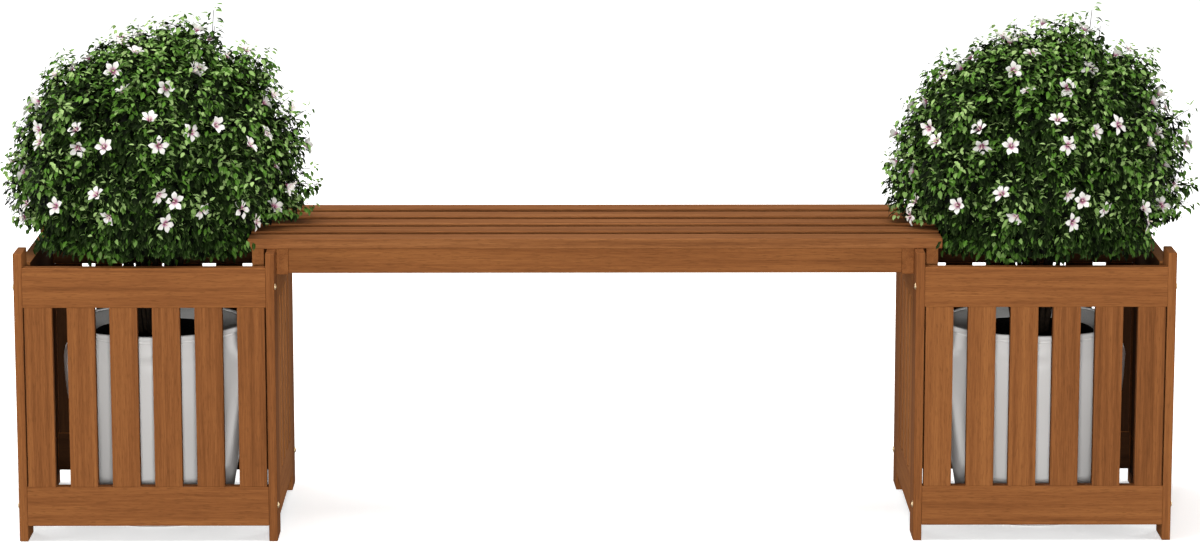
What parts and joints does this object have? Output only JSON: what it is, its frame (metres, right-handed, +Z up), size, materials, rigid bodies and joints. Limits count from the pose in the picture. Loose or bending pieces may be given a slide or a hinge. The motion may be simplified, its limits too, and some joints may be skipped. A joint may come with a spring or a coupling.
{
  "type": "bench with planter",
  "caption": "Backless slatted wooden bench seat carried between open slatted planter boxes, each holding a potted flowering shrub that lifts out.",
  "frame": {"origin": "centre of the bench's footprint, on the floor", "axes": "+X along the bench, to the right as seen from the front, -Y towards the viewer in front, +Z up"},
  "size_m": [1.8164, 0.453, 0.7733],
  "materials": {
    "panel_wood": "satin",
    "post_wood": "satin",
    "frame_wood": "satin",
    "seat_wood": "satin",
    "screw_brass": "satin",
    "pot_grey": "satin",
    "liner_grey": "matte",
    "soil": "matte",
    "foliage": "matte"
  },
  "bodies": {
    "bench": {"left_front_panel": "panel_wood", "left_post_front_outer": "post_wood", "left_screw_front_outer_low": "screw_brass", "left_screw_front_outer_high": "screw_brass", "left_post_front_inner": "post_wood", "left_screw_front_inner_low": "screw_brass", "left_screw_front_inner_high": "screw_brass", "left_back_panel": "panel_wood", "left_post_back_outer": "post_wood", "left_screw_back_outer_low": "screw_brass", "left_screw_back_outer_high": "screw_brass", "left_post_back_inner": "post_wood", "left_screw_back_inner_low": "screw_brass", "left_screw_back_inner_high": "screw_brass", "left_outer_side_panel": "panel_wood", "left_inner_side_panel": "panel_wood", "right_front_panel": "panel_wood", "right_post_front_outer": "post_wood", "right_screw_front_outer_low": "screw_brass", "right_screw_front_outer_high": "screw_brass", "right_post_front_inner": "post_wood", "right_screw_front_inner_low": "screw_brass", "right_screw_front_inner_high": "screw_brass", "right_back_panel": "panel_wood", "right_post_back_outer": "post_wood", "right_screw_back_outer_low": "screw_brass", "right_screw_back_outer_high": "screw_brass", "right_post_back_inner": "post_wood", "right_screw_back_inner_low": "screw_brass", "right_screw_back_inner_high": "screw_brass", "right_outer_side_panel": "panel_wood", "right_inner_side_panel": "panel_wood", "seat_slat_1": "seat_wood", "seat_slat_2": "seat_wood", "seat_slat_3": "seat_wood", "seat_slat_4": "seat_wood", "seat_slat_5": "seat_wood", "seat_apron_front": "frame_wood", "seat_apron_back": "frame_wood", "seat_centre_bearer": "frame_wood", "seat_cross_rail_left_inboard": "frame_wood", "seat_cross_rail_left_outboard": "frame_wood", "seat_screw_left_front": "screw_brass", "seat_screw_left_back": "screw_brass", "seat_cross_rail_right_inboard": "frame_wood", "seat_cross_rail_right_outboard": "frame_wood", "seat_screw_right_front": "screw_brass", "seat_screw_right_back": "screw_brass"},
    "left_potted_shrub": {"left_pot": "pot_grey", "left_liner": "liner_grey", "left_soil": "soil", "left_shrub": "foliage"},
    "right_potted_shrub": {"right_pot": "pot_grey", "right_liner": "liner_grey", "right_soil": "soil", "right_shrub": "foliage"}
  },
  "joints": [
    {"name": "left_shrub_lift", "type": "slide", "parent": "bench", "child": "left_potted_shrub", "axis": [0, 0, 1], "range_m": [0, 0.46]},
    {"name": "right_shrub_lift", "type": "slide", "parent": "bench", "child": "right_potted_shrub", "axis": [0, 0, 1], "range_m": [0, 0.46]}
  ]
}
